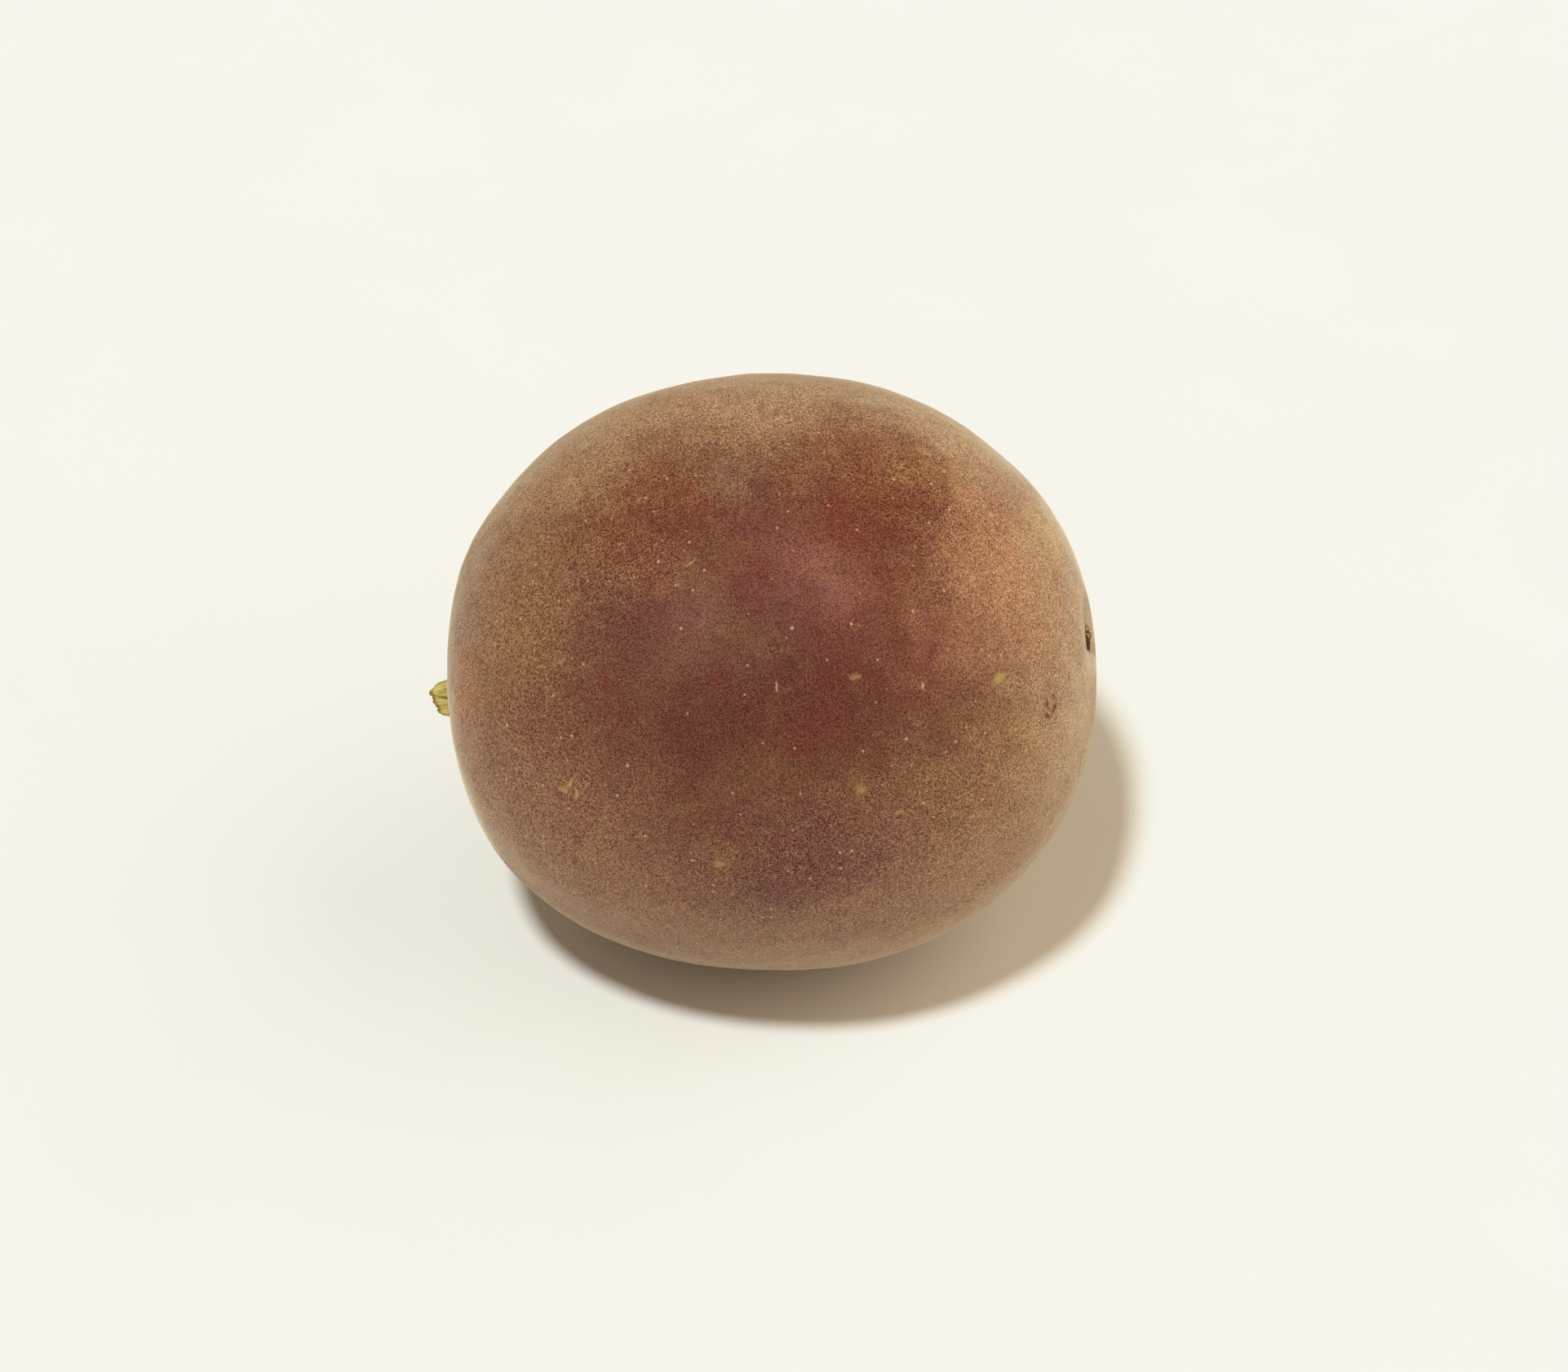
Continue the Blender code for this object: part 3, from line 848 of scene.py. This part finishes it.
def makeStub():
    turn = np.arange(stub["turns"]) * 2 * math.pi / stub["turns"]
    top = tornEdge(turn)
    height, radius, fibres, split = stubSide(turn, top)
    face, level, ragged = stubEnd(turn, top, radius[-1])
    side = np.stack((radius * np.cos(turn), radius * np.sin(turn), height), axis=-1)
    end = np.stack((face * np.cos(turn), face * np.sin(turn), level), axis=-1)
    poles = np.array([[0, 0, -stub["rootDepth"]], [0, 0, level[-1].mean()]])
    placed = standOn(-fruitAxis, np.concatenate((side[1:], end)))
    placedPoles = standOn(-fruitAxis, poles)
    mesh = closedGrid("stalkStub", placed, placedPoles[0], placedPoles[1])
    # torn is 1 on the end and fades out down the side, and the split counts as torn too
    torn = np.concatenate((easeStep(height - top, -0.75 * mm, -0.05 * mm)[1:] * 0.9, 1.0 + 0.0 * level))
    torn = np.maximum(torn, np.concatenate((0.9 * split[1:], 0 * level)))
    giveValue(mesh, "torn", np.append(torn.ravel(), [0, 1]))
    giveValue(mesh, "fibre", np.append(np.concatenate((fibres[1:], ragged)).ravel(), [0, 0]))
    settle("stalkStub", mesh, makeDryStalk(), "stalk_stub")


def makeDryStalk():
    material, tree, shader = newMaterial("dryStalk", 0.72, 0.25)
    here = addNode(tree, "ShaderNodeTexCoord").outputs["Object"]
    torn = addNode(tree, "ShaderNodeAttribute", attribute_name="torn").outputs["Fac"]
    fibre = addNode(tree, "ShaderNodeAttribute", attribute_name="fibre").outputs["Fac"]
    lumps = cloud(tree, here, 0.7 * mm, 4, 0.6, 0.4)
    fine = cloud(tree, here, 0.16 * mm, 2, 0.6, 0.8)
    colour = mixTone(tree, fade(tree, lumps, 0.35, 0.65), tone("stalkYellow"), tone("stalkGreen"))
    colour = mixTone(tree, fade(tree, fibre, 0.2, -1.6, 0, 0.45), colour, tone("stalkBrown"))
    colour = mixTone(tree, fade(tree, fine, 0.52, 0.70, 0, 0.40), colour, tone("stalkBrown"))
    ragged = doMath(tree, "ADD", torn, doMath(tree, "MULTIPLY", doMath(tree, "SUBTRACT", lumps, 0.5), 0.9))
    colour = mixTone(tree, fade(tree, ragged, 0.30, 0.80, 0, 0.75), colour, tone("stalkBrown"))
    colour = mixTone(tree, fade(tree, ragged, 0.80, 1.15, 0, 0.60), colour, tone("tornDarkAndShade"))
    tree.links.new(colour, shader.inputs["Base Color"])
    tree.links.new(fade(tree, lumps, 0.3, 0.7, 0.62, 0.85), shader.inputs["Roughness"])
    height = doMath(tree, "ADD", fine, doMath(tree, "MULTIPLY", lumps, 0.8))
    addBump(tree, shader, height, 0.08 * mm, 0.8)
    return material


remnant = {
    "halfHeight": 1.2 * mm,
    "halfWidth": 0.9 * mm,
    "reach": 0.95,                      # share of those half sizes that its edge comes to
    "edgeWaves": [(5, 0.05, 1), (11, 0.035, 2), (23, 0.02, 0)],              # waves round it, share, shift
    "rise": 0.42 * mm,
    "rootDepth": 0.8 * mm,
    "aboveSkin": 0.6,                   # share of the rings that cover the nub, the rest form the root
    "creases": (13, 0.045),             # how many, and their height in mm
    "crumple": (0.45, 0.035),           # wavelength and height in mm
    "slit": (0.28 * mm, 0.11 * mm, -0.28 * mm),      # depth, width and how far off the middle
    "narrower": 0.35,                   # share by which the nub is narrower on its lower side
    "shadeSheetWidening": 1.62,                      # how many times wider that side is with its low sheet, painted dark as painted shade of the gap
    "shadeSheetRise": 0.10 * mm,
    "turn": 44,
    "turns": 120,
    "rings": 60,
}


def makeRemnant():
    # an oval nub, a dome of rise * sqrt(1 - near^2) above the skin, with radial creases and a slit,
    # a low sheet on its lower side, painted dark as painted shade of the gap there, and a root below
    turn = np.arange(remnant["turns"]) * 2 * math.pi / remnant["turns"]
    down = np.linspace(1, 0, remnant["rings"] + 2)[1:-1][:, None]
    above = remnant["aboveSkin"]
    out = np.sin(np.clip(down / above, 0, 1) * math.pi / 2)
    under = np.clip((down - above) / (1 - above), 0, 1)
    oval = 1 / np.hypot(np.cos(turn) / remnant["halfHeight"], np.sin(turn) / remnant["halfWidth"])
    edge = 1
    for waves, share, shift in remnant["edgeWaves"]:
        edge = edge + share * np.cos(waves * turn + shift)
    radius = oval * out * np.sqrt(1 - under ** 4) * (1 + (edge - 1) * out ** 3) * remnant["reach"]
    side, upward = radius * np.sin(turn), radius * np.cos(turn)
    nubWidth = remnant["halfWidth"] * np.where(side > 0, 1 - remnant["narrower"], 1)
    side = side * np.where(side > 0, remnant["shadeSheetWidening"], 1)
    near = np.hypot(upward / remnant["halfHeight"], side / nubWidth) / remnant["reach"]
    spots = np.stack((upward, side, 0 * side), axis=-1).reshape(-1, 3) / mm
    crumpleSize, crumpleHeight = remnant["crumple"]
    crumple = ripples(spots, crumpleSize, 101).reshape(side.shape)
    height = remnant["rise"] * np.sqrt(np.clip(1 - near ** 2, 0, 1)) - remnant["rootDepth"] * under
    height = height + remnant["shadeSheetRise"] * easeStep(near, 0.8, 1.1) * (1 - out ** 8) * (1 - under)
    creaseCount, creaseHeight = remnant["creases"]
    creases = np.cos(creaseCount * turn + 3 * np.cos(2 * turn)) * out * (1 - out ** 4)
    depth, width, offset = remnant["slit"]
    slit = np.exp(-((side - offset - 0.10 * upward) / width) ** 2) * (1 - out ** 8)
    relief = creaseHeight * creases + crumpleHeight * crumple * (1 - out ** 6)
    height = height + relief * mm * (under <= 0)
    height = height - depth * slit * (1 - under)
    rows = np.stack((upward, side, height), axis=-1)
    poles = np.array([[0, 0, -remnant["rootDepth"]], [0, 0, height[-1].mean()]])
    placed = standOn(scarWay, rows, remnant["turn"])
    placedPoles = standOn(scarWay, poles, remnant["turn"])
    mesh = closedGrid("styleRemnant", placed, placedPoles[0], placedPoles[1])
    # painted shade: the slit and the low sheet on the lower side are marked to be painted near black
    dark = np.maximum(slit, easeStep(near, 0.86, 1.04) * (side > 0))
    giveValue(mesh, "slit", np.append(dark.ravel(), [0, dark[-1].mean()]))
    settle("styleRemnant", mesh, makeDryStyle(), "style_remnant")


def makeDryStyle():
    material, tree, shader = newMaterial("dryStyle", 0.8, 0.2)
    here = addNode(tree, "ShaderNodeTexCoord").outputs["Object"]
    slit = addNode(tree, "ShaderNodeAttribute", attribute_name="slit").outputs["Fac"]
    lumps = cloud(tree, here, 0.6 * mm, 4, 0.65, 0.6)
    fine = cloud(tree, here, 0.14 * mm, 2, 0.6, 0.8)
    colour = mixTone(tree, fade(tree, lumps, 0.35, 0.62), tone("scarOlive"), tone("scarTan"))
    colour = mixTone(tree, fade(tree, fine, 0.50, 0.70, 0, 0.55), colour, tone("scarBrown"))
    # painted shade: the slit and the low sheet are painted near black for the shadowed gap
    colour = mixTone(tree, fade(tree, slit, 0.25, 0.85, 0, 0.95), colour, tone("tornDarkAndShade"))
    tree.links.new(colour, shader.inputs["Base Color"])
    tree.links.new(fade(tree, lumps, 0.3, 0.7, 0.7, 0.9), shader.inputs["Roughness"])
    addBump(tree, shader, doMath(tree, "ADD", fine, lumps), 0.07 * mm, 0.8)
    return material


makeStub()
makeRemnant()
print("stub and blossom scar set on the skin")


floorFinish = {
    "halfSide": 2.0,
    "clouds": 30 * mm,
    "grain": 0.35 * mm,
    "paleTones": ((0.842, 0.842, 0.831, 1), (0.858, 0.858, 0.849, 1)),
    "grainTone": (0.70, 0.70, 0.69, 1),
    "roughness": (0.86, 0.94),
    "bump": (0.02 * mm, 0.3),           # depth and strength
}


def layFloor():
    half = floorFinish["halfSide"]
    corners = [(-half, -half, 0), (half, -half, 0), (half, half, 0), (-half, half, 0)]
    mesh = bpy.data.meshes.new("floor")
    mesh.from_pydata(corners, [], [(0, 1, 2, 3)])
    material, tree, shader = newMaterial("paleFloor", 0.9, 0.2)
    here = addNode(tree, "ShaderNodeTexCoord").outputs["Object"]
    broad = cloud(tree, here, floorFinish["clouds"], 3, 0.6, 0.2)
    grain = cloud(tree, here, floorFinish["grain"], 2, 0.6, 0.0)
    colour = mixTone(tree, fade(tree, broad, 0.3, 0.7), *floorFinish["paleTones"])
    colour = mixTone(tree, fade(tree, grain, 0.40, 0.60, 0, 0.05), colour, floorFinish["grainTone"])
    tree.links.new(colour, shader.inputs["Base Color"])
    tree.links.new(fade(tree, broad, 0.3, 0.7, *floorFinish["roughness"]), shader.inputs["Roughness"])
    addBump(tree, shader, grain, *floorFinish["bump"])
    mesh.materials.append(material)
    floor = bpy.data.objects.new("floor", mesh)
    bpy.context.scene.collection.objects.link(floor)


layFloor()
print("floor laid")
